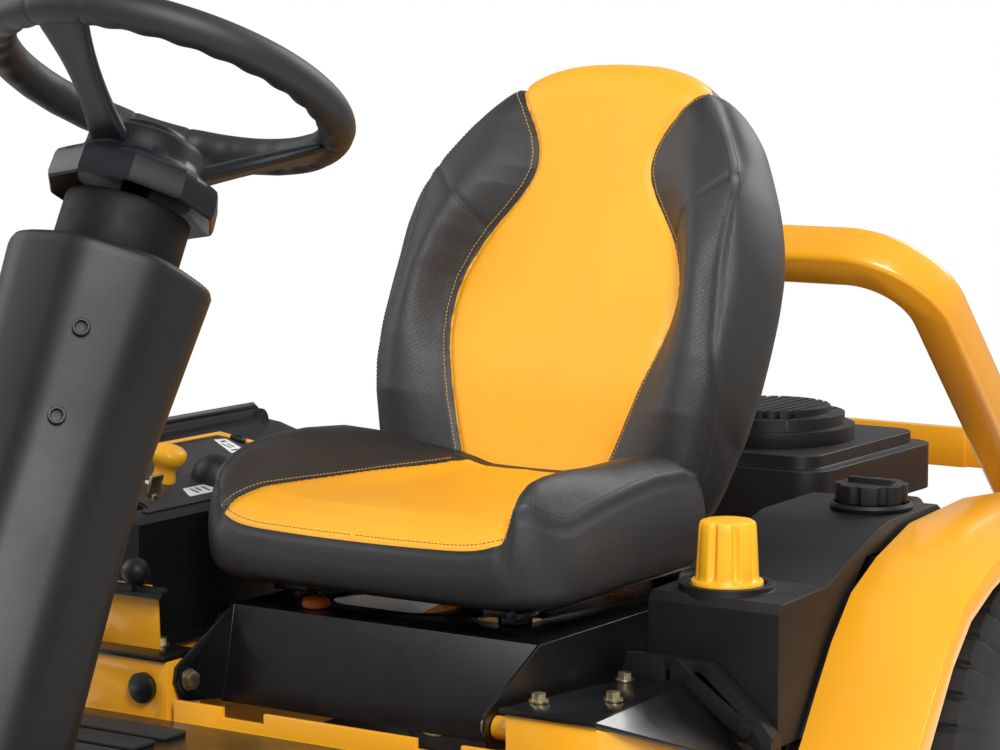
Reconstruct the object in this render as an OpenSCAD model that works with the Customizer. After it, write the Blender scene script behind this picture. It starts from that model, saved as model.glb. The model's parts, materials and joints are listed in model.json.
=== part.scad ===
// Steering-wheel zero turn mower, built as separate moving parts. Millimetres, +Z up.
// The machine faces -Y and the operator's left is +X. Modules draw about the middle plane (X = 0), the rear
// axle line (Y = 0) and the ground (Z = 0); place() then moves each one into the shared frame.

/* [Wheels] */
// distance from the front kingpins to the rear axle
wheel_base = 1240; // [1200:5:1280]
// rear tyre outside diameter
rear_tyre_d = 508; // [496:2:512]
// rear tyre width
rear_tyre_w = 254; // [200:2:256]
// front tyre outside diameter
front_tyre_d = 330; // [310:2:334]
// front tyre width
front_tyre_w = 165; // [140:1:168]

/* [Seat and controls] */
// height of the cushion's lower edge
seat_z = 491; // [488:1:500]
// length of the backrest along its slope
back_len = 534; // [480:2:560]
// backrest recline from upright, degrees
back_tilt = 20; // [16:0.5:24]
// steering rim centreline radius
rim_r = 181; // [165:1:190]
// steering rim grip radius
grip_r = 20; // [16:0.5:22]
// steering column lean from upright, degrees
column_tilt = 27; // [25:0.5:29]

/* [Mower deck] */
// radius of the deck's rounded corners about the blade shafts
deck_r = 228; // [222:1:234]
// deck shell height
deck_h = 112; // [104:1:118]
// blade length tip to tip
blade_len = 426; // [400:1:430]

/* [Hidden] */
out_x = 425;
cen_y = -700;
out_y = -610;
chute_x = 930;
nose_y = 1475;
tail_y = 620;
mid_x = (chute_x - out_x - deck_r)/2;
axle_y = (nose_y - tail_y)/2;
deck_z = 55;
deck_top = deck_z + deck_h;
wheel_x = 445;
king_x = 400;
ax_r = rear_tyre_d/2;
// slope of the console's top and the seat pan's pivot
panel_tilt = 16.1;
pivot_y = -728;
pivot_z = 380;

module place() translate([mid_x, axle_y, 0]) children();
// box from two opposite corners
module bx(a, b) translate(a) cube([b[0]-a[0], b[1]-a[1], b[2]-a[2]]);
// the same box on both sides of the middle plane
module bx2(a, b) { bx(a, b); mirror([1,0,0]) bx(a, b); }
module both() { children(); mirror([1,0,0]) children(); }
// round bar along X, Y or Z
module cx(p, r, h) translate(p) rotate([0,90,0]) cylinder(r=r, h=h, $fn=48);
module cy(p, r, h) translate(p) rotate([-90,0,0]) cylinder(r=r, h=h, $fn=48);
module cz(p, r, h) translate(p) cylinder(r=r, h=h, $fn=48);
// prism along X from a side outline in (y, z)
module side(x0, x1, pts) translate([x0,0,0]) rotate([90,0,90]) linear_extrude(x1-x0) polygon(pts);
// prism along Y from a front outline in (x, z)
module front(y0, y1, pts) translate([0,y1,0]) rotate([90,0,0]) linear_extrude(y1-y0) polygon(pts);
// rectangle with round corners, as an exact prism
module slab(x0, x1, y0, y1, z0, z1, r) {
  bx([x0+r,y0,z0],[x1-r,y1,z1]); bx([x0,y0+r,z0],[x1,y1-r,z1]);
  for (x=[x0+r,x1-r], y=[y0+r,y1-r]) cz([x,y,z0], r, z1-z0);
}

// ---------------------------------------------------------------- frame
module frame_rails() color("Gold") place() {
  bx2([215,-1400,268],[265,520,328]);
  bx([-215,-1400,268],[215,-1360,328]);
  bx([-215,-300,268],[215,-250,328]);
  bx([-215,480,268],[215,520,328]);
  difference() { bx([-215,130,320],[215,480,328]); cz([0,300,300], 40, 60); }
}
module front_axle_beam() color("DimGray") place() translate([0,-wheel_base,0]) {
  difference() {
    union() {
      bx([-368,-34,222],[368,34,268]);
      both() cz([king_x,0,222], 36, 44);
      // steering gear housing on top of the beam
      bx([-60,-105,268],[60,34,330]);
    }
    both() cz([king_x,0,200], 14.05, 90);
    cz([0,0,200], 14.05, 100);
  }
}
module footplate() color("DimGray") place() {
  side(-330, 330, [[-1440,334],[-1475,400],[-1470,403],[-1436,340],[-770,340],[-770,334]]);
  // stays down to the frame rails
  bx2([216,-1380,328],[264,-1100,334]);
  // pedal brackets and their pins
  for (p=[[-260,-1260],[-177.5,-1250],[240,-1260],[-314,-1250]]) {
    bx([p[0]+12.6,p[1]-8,339],[p[0]+15.6,p[1]+8,362]);
    cx([p[0]-12.4,p[1],356], 2.45, 26);
  }
}
module foot_mat() color("DarkSlateGray") place() {
  for (s=[-1,1]) for (i=[0:6]) {
    y = -1180 + i*55;
    slab(s>0 ? 130 : -310, s>0 ? 310 : -130, y, y+42, 340, 344, 6);
  }
}
// the space above the tower's sloped outer flange
module above_flange() hull() {
  bx([330,-490.1,388.6],[330.1,-490,460]); bx([471,-490.1,273.5],[471.1,-490,460]);
  bx([330,-766,446.9],[330.1,-765.9,460]); bx([471,-766,331.8],[471.1,-765.9,460]);
}
module side_towers() color("Gold") place() {
  difference() {
    side(268, 385, [[-760,268],[-760,405],[-500,389],[-500,268]]);
    side(272, 381, [[-756,260],[-756,401],[-504,385],[-504,260]]);
    above_flange();
  }
  cx([236,pivot_y,pivot_z], 13, 34);
  difference() {
    bx([-385,-760,268],[-200,-700,405]);
    bx([-381,-756,260],[-204,-696,401]);
    cy([-234,-770,372], 14, 30);
    bx([-265.2,-765,260],[-214.8,-750,328.2]);
  }
  difference() {
    bx([-385,-700,268],[-268,-500,405]);
    bx([-381,-710,260],[-272,-504,401]);
  }
  // bracket that carries the brake lever, with its pin
  front(-732, -728, [[-335,411],[-235,411],[-237,469],[-247,486],[-335,486]]);
  bx([-268,-728,411],[-264,-700,462]);
  cy([-322,-746.5,480], 5, 15);
}
module tower_plates() color("Black") place() {
  difference() {
    side(262, 384, [[-764,405.3],[-764,411],[-494,394.6],[-494,388.9]]);
    hull() { bx([334,-500,300],[500,-490,460]); bx([384,-764,300],[500,-763,460]); }
  }
  // outer flange, folded down along a slanting line
  hull() { bx([330,-495,390],[334,-494,395.5]); bx([428,-495,310],[431,-494,315]); bx([380,-764,406],[384,-763,411]); }
  slab(-391, -258, -700, -494, 405.2, 411, 8);
  bx([-391,-764,405.2],[-201,-700,411]);
  // plug in the right tower's front face
  cy([-234,-766,372], 13.9, 8);
  cy([-234,-768,372], 18, 7.9);
}
module front_panel() color("Gold") place() {
  difference() {
    bx([-191,-760,270],[266,-754,362]);
    bx([214.8,-765,260],[265.2,-750,328.2]);
    slab(-120, -60, -770, -740, 350, 380, 8);
    slab(150, 210, -770, -740, 350, 380, 8);
    slab(-40, 60, -770, -740, 300, 325, 10);
  }
}
module fender_arc(x0, x1) {
  difference() {
    side(x0, x1, [[-452,290],[-420,330],[-385,382],[-349,432],[-301,482],[-237,514],[-150,542],[0,552],[150,542],
      [245,504],[300,440],[322,370],[322,300],[310,300],[308,368],[288,432],[236,494],[146,530],[0,540],[-146,530],
      [-232,502],[-294,471],[-340,422],[-375,373],[-410,321],[-440,283]]);
  }
  // turned-down outer lip
  side(x1-8, x1, [[-440,283],[-410,321],[-375,373],[-340,422],[-294,471],[-232,502],[-146,530],[0,540],[146,530],
    [236,494],[288,432],[308,368],[310,300],[298,300],[294,366],[276,424],[228,480],[140,514],[0,524],[-140,514],
    [-224,488],[-282,460],[-328,414],[-362,366],[-396,316],[-424,274]]);
}
module fender_left() color("Gold") place() {
  fender_arc(446, 590);
  // inner brace to the frame tower
  bx([385.5,-520,268],[450,-500,288]);
  bx([434,-520,268],[450,-438,288]);
}
module fender_right() color("Gold") place() {
  mirror([1,0,0]) { fender_arc(508, 590); bx([385.5,-520,268],[520,-500,288]); bx([508,-520,268],[520,-438,288]); }
}

// ---------------------------------------------------------------- steering column
module column_axis() translate([0,-988,1079]) rotate([-column_tilt,0,0]) children();
module column_tube() color("DimGray") place() difference() {
  column_axis() {
    cz([0,0,-205], 66, 62);
    cz([0,0,-812], 28, 608);
  }
  column_axis() cz([0,0,-830], 15, 700);
  bx([-80,-1600,200],[80,-1000,356]);
}
module column_cover() color("Black") place() difference() {
  union() {
    column_axis() translate([0,0,-430]) rotate([0,0,22.5]) cylinder(r1=98, r2=112, h=222, $fn=8);
    column_axis() translate([0,0,-900]) rotate([0,0,22.5]) cylinder(r1=116, r2=98, h=470.1, $fn=8);
  }
  column_axis() cz([0,0,-910], 28.2, 800);
  column_axis() both() cy([60,60,-300], 7, 60);
  column_axis() both() cy([60,60,-390], 7, 60);
  bx([-200,-1700,0],[200,-900,341]);
  // clear of the toe board
  side(-200, 200, [[-1700,300],[-1434,300],[-1434,343],[-1467,404],[-1476,404],[-1700,480]]);
}
module steering_hub() color("DarkSlateGray") place() column_axis() {
  cz([0,0,-700], 14.94, 560);
  translate([0,0,-138]) rotate([0,0,18]) cylinder(r=90, h=36, $fn=10);
  cz([0,0,-104], 62, 38);
  cz([0,0,-66], 40, 12);
  for (a=[50,130,270]) rotate([0,0,a]) translate([48,0,-88]) rotate([0,-34,0])
    bx([0,-17,-8],[143,17,8]);
}
module steering_rim() color("DarkSlateGray") place() column_axis()
  rotate_extrude($fn=96) translate([rim_r,0]) circle(r=grip_r, $fn=32);
module steering_arm() color("DimGray") place() translate([0,-wheel_base,0]) {
  cz([0,0,184], 14, 104);
  cz([0,0,184], 24, 14);
  bx([-14,10,184],[14,110,198]);
  cz([0,110,184], 20, 14);
  cz([0,110,198], 8, 24);
}
module tie_rod() color("Silver") place() translate([0,-wheel_base+110,0]) difference() {
  union() {
    for (x=[-king_x,0,king_x]) cz([x,0,199], 17, 16);
    bx([-king_x,-7,200],[king_x,7,214]);
  }
  for (x=[-king_x,0,king_x]) cz([x,0,190], 8.08, 40);
}
module spindle(s) color("DimGray") place() translate([s*king_x,-wheel_base,0]) {
  cz([0,0,184], 14, 104);
  cz([0,0,268], 26, 8);
  difference() {
    bx([-20,-24,140],[20,24,198]);
  }
  mirror([s<0?1:0,0,0]) {
    cx([20,0,front_tyre_d/2], 12.5, 186);
    cx([206,0,front_tyre_d/2], 20, 8);
  }
  bx([-14,20,184],[14,110,198]);
  cz([0,110,184], 20, 14);
  cz([0,110,198], 8, 24);
}
module spindle_left() spindle(1);
module spindle_right() spindle(-1);

// ---------------------------------------------------------------- wheels
module tyre(w, ro, ri, sh) rotate([0,90,0]) rotate_extrude($fn=96) polygon([
  [ri,0.06*w],[ri+0.12*(ro-ri),0.02*w],[ri+0.45*(ro-ri),0],[ro-sh*1.6,0.03*w],[ro-sh*0.5,0.08*w],[ro-2,0.2*w],[ro,0.36*w],
  [ro,0.64*w],[ro-2,0.8*w],[ro-sh*0.5,0.92*w],[ro-sh*1.6,0.97*w],[ri+0.45*(ro-ri),w],[ri+0.12*(ro-ri),0.98*w],[ri,0.94*w]]);
module front_tyre(s) color("Black") place() translate([s*wheel_x,-wheel_base,front_tyre_d/2]) mirror([s<0?1:0,0,0])
  tyre(front_tyre_w, front_tyre_d/2, 78, 24);
module front_rim(s) color("Gold") place() translate([s*wheel_x,-wheel_base,front_tyre_d/2]) mirror([s<0?1:0,0,0])
  difference() {
    rotate([0,90,0]) rotate_extrude($fn=96) polygon([[12,0],[26,0],[26,60],[62,60],[70,12],[78,10],[78,155],[70,153],
      [62,78],[26,78],[26,158],[12,158]]);
    cx([-5,0,0], 12.58, 180);
  }
module front_tyre_left() front_tyre(1);
module front_tyre_right() front_tyre(-1);
module front_rim_left() front_rim(1);
module front_rim_right() front_rim(-1);
module rear_tyre(s) color("Black") place() translate([s*317,0,ax_r]) mirror([s<0?1:0,0,0]) tyre(rear_tyre_w, ax_r, 106, 40);
module rear_rim(s) color("Gold") place() translate([s*317,0,ax_r]) mirror([s<0?1:0,0,0]) difference() {
  rotate([0,90,0]) rotate_extrude($fn=96) polygon([[12,40],[52,40],[52,56],[86,60],[96,18],[106,16],[106,238],[96,236],
    [86,74],[52,70],[52,76],[12,76]]);
  cx([-5,0,0], 17.08, 90);
  for (a=[0:72:359]) rotate([a,0,0]) cx([30,0,38], 6, 60);
}
module rear_tyre_left() rear_tyre(1);
module rear_tyre_right() rear_tyre(-1);
module rear_rim_left() rear_rim(1);
module rear_rim_right() rear_rim(-1);

// ---------------------------------------------------------------- bodywork
module console_right() color("Black") place() {
  difference() {
    union() {
      front(-700, -285, [[-290,411.2],[-290,548],[-470,600],[-506,604],[-506,411.2]]);
      front(-285, -190, [[-290,520],[-290,548],[-470,600],[-506,604],[-506,520]]);
    }
    // slots for the levers
    front(-660, -600, [[-420,500],[-420,700],[-406,700],[-406,500]]);
    translate([-335,-655,556]) rotate([0,panel_tilt,0]) cz([0,0,-22], 11.1, 60);
    translate([-375,-550,570]) rotate([0,panel_tilt,0]) cz([0,0,-50], 8.1, 90);
    translate([-345,-610,560]) rotate([0,panel_tilt,0]) cz([0,0,-30], 5.1, 60);
  }
  // raised outer lip with rounded ends
  front(-680, -230, [[-506,604],[-470,600],[-474,622],[-484,630],[-500,626]]);
  cx([-500,-230,604], 18, 28);
  cx([-500,-680,604], 18, 28);
}
module console_panel() color("DimGray") place() difference() {
  translate([-290,0,548]) rotate([0,panel_tilt,0]) bx([-172,-660,0.3],[-22,-330,2.3]);
  front(-665, -595, [[-424,500],[-424,700],[-402,700],[-402,500]]);
  translate([-335,-655,556]) rotate([0,panel_tilt,0]) cz([0,0,-22], 16, 60);
  translate([-375,-550,570]) rotate([0,panel_tilt,0]) cz([0,0,-50], 9, 90);
  translate([-345,-610,560]) rotate([0,panel_tilt,0]) cz([0,0,-30], 7, 60);
}
module fuel_tank() color("Black") place() difference() {
  union() {
    side(270, 440, [[-465,330],[-465,482],[-456,492],[-345,496],[-290,520],[-215,545],[-190,550],[-60,552],[-40,540],
      [-40,516],[-250,516],[-274,494],[-290,330]]);
    cz([340,-405,480], 56, 20);
    cz([383,-125,548], 48, 12);
  }
  cz([340,-405,474], 10.1, 40);
  cz([340,-405,496], 46, 8);
  cz([383,-125,530], 30, 60);
}
module tank_bracket() color("Black") place() {
  difference() {
    front(-492, -486, [[250,395],[332,392],[410,341],[446,318],[446,342],[407,365],[333,415],[325,424],[258,424]]);
    bx([308,-495,396],[315,-480,430]);
  }
  front(-486.5, -468, [[258,408],[335,408],[352,410],[425,350],[433,360],[361,421],[262,421]]);
  front(-488, -468, [[400,360],[410,341],[446,318],[446,345],[431,362]]);
  cy([414,-497,353], 9, 8);
}
module engine_block() color("DarkGray") place() {
  slab(-135, 135, 175, 440, 328.2, 470, 30);
  // cylinder heads, muffler and its pipes
  both() {
    bx([130,245,352],[206,355,462]);
    for (i=[0:6]) bx([134,232,354+i*16],[214,368,360+i*16]);
  }
  cx([-150,478,420], 42, 300);
  both() cx([100,455,380], 12, 20);
  cz([-170,300,345], 28, 60);
  cz([0,300,250], 14.9, 78);
  cz([0,300,214], 60, 12);
  cz([0,300,240], 60, 6);
  cz([0,300,226], 46, 14);
}
module engine_shroud() color("DimGray") place() {
  slab(-185, 185, 112, 480, 482, 545, 40);
  slab(-165, 165, 132, 460, 545, 562, 36);
  bx([-150,180,470.2],[150,440,482]);
}
module blower_dome() color("Black") place() difference() {
  union() { cz([20,285,562.1], 118, 20); cz([20,285,582], 104, 16); cz([20,285,598], 84, 10); }
  for (x=[-54:15:94]) bx([x,205,590],[x+6,365,620]);
}
// square tube guard: cross bar behind the seat, two corners, two legs leaning back to the frame
module rear_hoop() color("Gold") place() translate([0,100,835]) rotate([135,0,0]) {
  s = 28.5; hx = 330; cr = 100;
  bx([-hx+cr,-s,-s],[hx-cr,s,s]);
  both() {
    translate([hx-cr,-cr,0]) rotate_extrude(angle=90, $fn=96) translate([cr-s,-s]) square(2*s);
    bx([hx-s,-520,-s],[hx+s,-cr,s]);
  }
}
module rear_guard() color("Gold") place() {
  difference() {
    union() {
      bx([-378,548,300],[378,556,549]);
      bx2([366,380,300],[374,548,500]);
      slab(-200, 200, 540, 556, 500, 556, 7);
    }
    slab(-240, -40, 530, 570, 350, 500, 10);
    slab(40, 240, 530, 570, 350, 500, 10);
  }
  // gussets that hold the hoop's legs
  bx2([358.7,440,430],[366.5,500,476]);
  bx2([265.2,440,300],[366.5,548.5,308]);
  bx([-265,520.2,300],[265,548,308]);
  difference() { slab(-60, 60, 520.2, 620, 292, 299.8, 16); cz([0,592,280], 9.5, 30); }
}
module hydro_drives() color("DarkGray") place() both() {
  bx([140,-80,180],[290,80,266]);
  cx([100,0,225], 34, 40);
  cx([290,0,ax_r], 17, 110);
  cx([290,0,ax_r], 30, 20);
  bx([205,-110,190],[255,-80,230]);
}
module hex_bolts() color("Silver") place() {
  for (p=[[275,-705,409.2],[272,-520,398],[330,-640,405.3],[-248,-714,412.1],[-275,-560,412.1],[-330,-750,412.1]]) {
    cz([p[0],p[1],p[2]-1], 11, 3);
    translate([p[0],p[1],p[2]+2]) cylinder(r=8.5, h=7, $fn=6);
  }
  // seat pan pivots
  cx([-199.9,pivot_y,pivot_z], 6, 6);
  cx([-194.8,pivot_y,pivot_z], 13, 2);
  translate([-193,pivot_y,pivot_z]) rotate([0,90,0]) cylinder(r=11, h=8, $fn=6);
  cx([229,pivot_y,pivot_z], 6, 6.9);
  cx([228.8,pivot_y,pivot_z], 13, 2);
  translate([221,pivot_y,pivot_z]) rotate([0,90,0]) cylinder(r=11, h=8, $fn=6);
}

// ---------------------------------------------------------------- seat
module seat_pan() color("Black") place() {
  difference() {
    side(-199, 235, [[-664,342],[-640,455],[-140,455],[-140,390],[-560,345]]);
    side(-195, 231, [[-659,330],[-636,451],[-130,451],[-130,330]]);
    slab(-120, 40, -570, -480, 440, 470, 40);
    slab(90, 160, -560, -500, 440, 470, 20);
    slab(-100, 100, -400, -240, 440, 470, 30);
  }
  // side wings that reach forward to the pivots
  for (x=[-199,231]) difference() {
    side(x, x+4, [[-741,356],[-752,380],[-748,398],[-640,455],[-655,344],[-702,350]]);
    cx([x-1,pivot_y,pivot_z], 6.06, 6);
  }
  both() cz([150,-560,455.1], 20, 12);
  both() cz([150,-220,455.1], 20, 12);
}
module seat_rails() color("DimGray") place() both()
  difference() { bx([125,-590,467.2],[175,-200,476]); bx([137,-580,471],[163,-210,480]); }
module seat_base() color("Black") place() {
  bx2([139,-535,471.6],[161,-245,477]);
  slab(-190, 190, -590, -200, 477, seat_z-0.1, 30);
  // back frame plate behind the backrest
  back_axis() side(-120, 120, [[96,-90],[101,-90],[101,380],[96,380]]);
  bx2([60,-200,478],[110,-140,490]);
}
module slide_lever() color("Black") place() {
  cz([198,-472,479], 7, 9);
  bx([195,-600,480],[201,-472,487]);
  cy([198,-640,482], 7.5, 44);
}
// foam form: g grows it all round
module cushion_form(g) {
  slab(-245-g, 245+g, -655-g, -250+g, seat_z-g, 556+g, 70+g);
  slab(-238-g, 238+g, -640-g, -250+g, 555, 566+g, 70+g);
  both() translate([190,-560-g,578]) rotate([-87,0,0]) cylinder(r=42+g, h=290+2*g, $fn=48);
}
module seat_cushion() color("Black") place() cushion_form(0);
module back_axis() translate([0,-297,587]) rotate([-back_tilt,0,0]) children();
module seat_back() color("Gold") place() difference() {
  back_form();
  cushion_form(0.5);
}
module back_form() back_axis() {
  L = back_len;
  translate([0,95,0]) rotate([90,0,0]) linear_extrude(93) polygon([[-215,-60],[215,-60],[245,20],[262,120],[272,220],
    [268,300],[250,370],[220,430],[180,480],[130,L-24],[70,L-4],[0,L],[-70,L-4],[-130,L-24],[-180,480],[-220,430],
    [-250,370],[-268,300],[-272,220],[-262,120],[-245,20]]);
  both() translate([0,2,0]) rotate([90,0,0]) linear_extrude(34) polygon([[165,-40],[215,-30],[240,20],[256,120],[264,220],
    [256,300],[236,370],[214,380],[190,300],[170,200],[160,80]]);
}

// ---------------------------------------------------------------- mower deck
// angle of the common tangent of the centre and side circles
tan_a = acos((out_y - cen_y)/sqrt(out_x*out_x + (out_y-cen_y)*(out_y-cen_y))) - 90;
function arc(x, y, r, a0, a1, n) = [for (i=[0:n]) let (a=a0+(a1-a0)*i/n) [x+r*cos(a), y+r*sin(a)]];
// outline round the three blade shafts at a radius r
module round3(r) polygon(concat(arc(out_x, out_y, r, -90-tan_a, 90, 28), arc(-out_x, out_y, r, 90, 270+tan_a, 28),
  arc(0, cen_y, r, 270+tan_a, 270-tan_a, 4)));
module deck_shell() color("Black") place() {
  difference() {
    translate([0,0,deck_z]) linear_extrude(deck_h) round3(deck_r);
    translate([0,0,deck_z-1]) linear_extrude(deck_h-4) round3(deck_r-5);
    bx([-720,-740,40],[-600,-480,deck_top-6]);
    cz([0,cen_y,100], 12.6, 200);
    both() cz([out_x,out_y,100], 12.6, 200);
  }
  for (p=[[0,cen_y],[out_x,out_y],[-out_x,out_y]]) difference() {
    union() { cz([p[0],p[1],deck_top], 62, 6); cz([p[0],p[1],deck_top+6], 34, 20); }
    cz([p[0],p[1],100], 12.6, 200);
  }
  // hinge brackets for the chute, and arms for the front wheels
  bx([-668,-716,deck_top-2],[-640,-706,deck_top+14]);
  bx([-668,-514,deck_top-2],[-640,-504,deck_top+14]);
  both() {
    bx([276,-1000,108],[284,-850,128]);
    cx([256,-990,118], 7, 30);
  }
  // lift hangers
  both() { bx([292,-480,deck_top],[300,-460,240]); bx([292,-780,deck_top],[300,-760,240]); }
}
module deck_belt() color("Black") place() difference() {
  translate([0,0,deck_top+36.5]) linear_extrude(9) round3(63);
  translate([0,0,deck_top+36]) linear_extrude(12) round3(54.3);
}
module blade(x, y) color("Silver") place() translate([x,y,0]) {
  difference() { cz([0,0,78], 12.5, deck_top-28); }
  slab(-blade_len/2, blade_len/2, -28, 28, 84, 89, 3);
  translate([0,0,74]) cylinder(r=18, h=10, $fn=6);
  cz([0,0,deck_top+30], 60, 6);
  cz([0,0,deck_top+36], 54, 10);
  cz([0,0,deck_top+46], 60, 4);
}
module blade_left() blade(out_x, out_y);
module blade_centre() blade(0, cen_y);
module blade_right() blade(-out_x, out_y);
module chute_deflector() color("DimGray") place() {
  front(-750, -470, [[-672,158],[-672,164],[-690,166],[-905,92],[-930,64],[-924,60],[-902,86],[-690,158]]);
  side(-880, -690, [[-750,100],[-744,100],[-744,90],[-750,90]]);
  front(-750, -745, [[-690,158],[-902,86],[-924,60],[-700,84]]);
  front(-475, -470, [[-690,158],[-902,86],[-924,60],[-700,84]]);
  difference() { bx([-684,-704,158],[-670,-516,174]); cy([-676,-710,168], 3.1, 200); }
}
module deck_wheel(s) color("Black") place() difference() {
  cx([s>0?217:-255,-990,118], 58, 38);
  cx([s>0?200:-270,-990,118], 7.08, 70);
}
module deck_wheel_left() deck_wheel(1);
module deck_wheel_right() deck_wheel(-1);

// ---------------------------------------------------------------- pedals and hand controls
module pedal(x0, x1, y0, y1) {
  side(x0, x1, [[y0,372],[y0+4,366],[y1,400],[y1-2,408],[y0,380]]);
  xm = (x0+x1)/2;
  difference() { bx([xm-12,y0+28,352],[xm+12,y0+52,384]); cx([xm-20,y0+40,356], 2.5, 40); }
}
module forward_pedal() color("Black") place() pedal(-300, -220, -1300, -1215);
module reverse_pedal() color("Black") place() pedal(-205, -150, -1290, -1215);
module brake_pedal() color("Black") place() pedal(190, 290, -1300, -1215);
module lift_pedal() color("Black") place() {
  pedal(-325, -303, -1290, -1200);
}
module pto_knob() color("Gold") place() translate([-375,-550,570]) rotate([0,panel_tilt,0]) {
  cz([0,0,-30], 8, 62);
  cz([0,0,18], 14, 16);
  cz([0,0,32], 23, 12);
}
module throttle_lever() color("Black") place() {
  bx([-415,-636,560],[-411,-624,642]);
  cx([-419,-630,560], 5, 12);
  slab(-424, -402, -642, -618, 642, 668, 6);
}
module ignition_key() color("Silver") place() translate([-345,-610,560]) rotate([0,panel_tilt,0]) {
  cz([0,0,-20], 5, 30);
  bx([-2,-11,10],[2,11,34]);
}
module height_dial() color("Gold") place() translate([340,-405,0]) difference() {
  union() {
    cz([0,0,476], 10, 24);
    cz([0,0,496.2], 42, 7);
    translate([0,0,503]) cylinder(r1=37, r2=33, h=69, $fn=96);
  }
  for (a=[0:45:359]) rotate([0,0,a]) cz([41,0,510], 7, 70);
}
module brake_lever() color("Black") place() {
  difference() {
    union() { bx([-322,-746,474],[-224,-734,486]); cy([-322,-746,480], 10, 12); cy([-224,-746,480], 6, 12); }
    cy([-322,-750,480], 5.06, 30);
  }
  translate([-262,-740,502]) sphere(r=17, $fn=48);
  cz([-262,-740,480], 8, 12);
}
module fuel_cap() color("Black") place() translate([383,-125,0]) {
  cz([0,0,540], 29.9, 20.2);
  difference() {
    cz([0,0,560.2], 44, 22);
    for (a=[0:45:359]) rotate([0,0,a]) cz([47,0,555], 8, 40);
  }
  translate([0,0,582]) bx([-30,-5,0],[30,5,6]);
}

frame_rails();
front_axle_beam();
column_tube();
column_cover();
footplate();
foot_mat();
side_towers();
tower_plates();
front_panel();
fender_left();
fender_right();
console_right();
console_panel();
fuel_tank();
tank_bracket();
engine_block();
engine_shroud();
blower_dome();
rear_hoop();
rear_guard();
hydro_drives();
hex_bolts();
seat_pan();
seat_rails();
seat_base();
seat_cushion();
seat_back();
slide_lever();
steering_rim();
steering_hub();
steering_arm();
tie_rod();
spindle_left();
spindle_right();
front_tyre_left();
front_rim_left();
front_tyre_right();
front_rim_right();
rear_tyre_left();
rear_rim_left();
rear_tyre_right();
rear_rim_right();
deck_shell();
deck_belt();
blade_left();
blade_centre();
blade_right();
chute_deflector();
deck_wheel_left();
deck_wheel_right();
forward_pedal();
reverse_pedal();
brake_pedal();
lift_pedal();
pto_knob();
throttle_lever();
ignition_key();
height_dial();
brake_lever();
fuel_cap();
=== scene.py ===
import json
import math

import bpy
import numpy as np
from mathutils import Matrix, Vector
from mathutils.bvhtree import BVHTree


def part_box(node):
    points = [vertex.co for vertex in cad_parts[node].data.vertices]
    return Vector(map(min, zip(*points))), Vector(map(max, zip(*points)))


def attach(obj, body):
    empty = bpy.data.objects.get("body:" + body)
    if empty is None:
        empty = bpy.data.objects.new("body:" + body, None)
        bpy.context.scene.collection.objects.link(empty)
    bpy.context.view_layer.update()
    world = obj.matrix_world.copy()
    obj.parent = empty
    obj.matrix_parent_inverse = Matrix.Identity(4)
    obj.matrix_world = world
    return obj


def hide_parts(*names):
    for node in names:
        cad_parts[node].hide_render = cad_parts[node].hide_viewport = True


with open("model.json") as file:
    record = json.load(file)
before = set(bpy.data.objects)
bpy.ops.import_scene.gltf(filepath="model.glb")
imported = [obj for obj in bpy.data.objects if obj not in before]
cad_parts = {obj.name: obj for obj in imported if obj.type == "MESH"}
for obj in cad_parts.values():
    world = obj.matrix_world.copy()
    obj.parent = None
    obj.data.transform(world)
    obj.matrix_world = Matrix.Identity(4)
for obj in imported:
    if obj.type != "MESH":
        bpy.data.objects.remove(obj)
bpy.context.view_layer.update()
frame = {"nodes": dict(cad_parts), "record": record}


# Camera. The machine's own zero is its middle plane, its rear axle line and the ground, and the camera stands
# ahead of it on the operator's left, a little above the seat.
hoop_low, hoop_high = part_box("rear_hoop")
tyre_low, tyre_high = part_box("rear_tyre_left")
MID_X = (hoop_low[0] + hoop_high[0]) / 2
AXLE_Y = (tyre_low[1] + tyre_high[1]) / 2


def at(x, y, z):
    """A point given in millimetres from the machine's zero, in the frame's metres."""
    return Vector((MID_X + x / 1000, AXLE_Y + y / 1000, z / 1000))


camera_turn, camera_drop = math.radians(33.4), math.radians(7.0)
camera_back = Vector((math.sin(camera_turn) * math.cos(camera_drop),
                      -math.cos(camera_turn) * math.cos(camera_drop), math.sin(camera_drop)))
camera = bpy.data.objects.new("camera", bpy.data.cameras.new("camera"))
bpy.context.scene.collection.objects.link(camera)
camera.data.sensor_width, camera.data.lens = 36, 111.6
camera.data.clip_end = 100
camera.location = at(2055, -3481, 1171)
camera.rotation_mode = "QUATERNION"
camera.rotation_quaternion = (-camera_back).to_track_quat("-Z", "Y")
bpy.context.scene.camera = camera


# Stage. A pale painted round floor, an even white surround and three large soft boxes. The surround is
# brighter to the camera than as a light, for a white ground with deep blacks.
def linear(code):
    """An sRGB hex colour as linear red, green, blue and alpha."""
    parts = [int(code[i:i + 2], 16) / 255 for i in (1, 3, 5)]
    return [c / 12.92 if c <= 0.04045 else ((c + 0.055) / 1.055) ** 2.4 for c in parts] + [1.0]


def add(tree, kind, sets=None, **links):
    """One shader node: sets are its attributes and socket values, links are socket name = (node, output)."""
    node = tree.nodes.new("ShaderNode" + kind)
    for name, value in (sets or {}).items():
        if hasattr(node, name):
            setattr(node, name, value)
        else:
            key = int(name[2:]) if name.startswith("in") and name[2:].isdigit() else name
            node.inputs[key].default_value = value
    for name, (source, output) in links.items():
        key = int(name[2:]) if name.startswith("in") and name[2:].isdigit() else name.replace("_", " ")
        tree.links.new(source.outputs[output], node.inputs[key])
    return node


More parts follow.
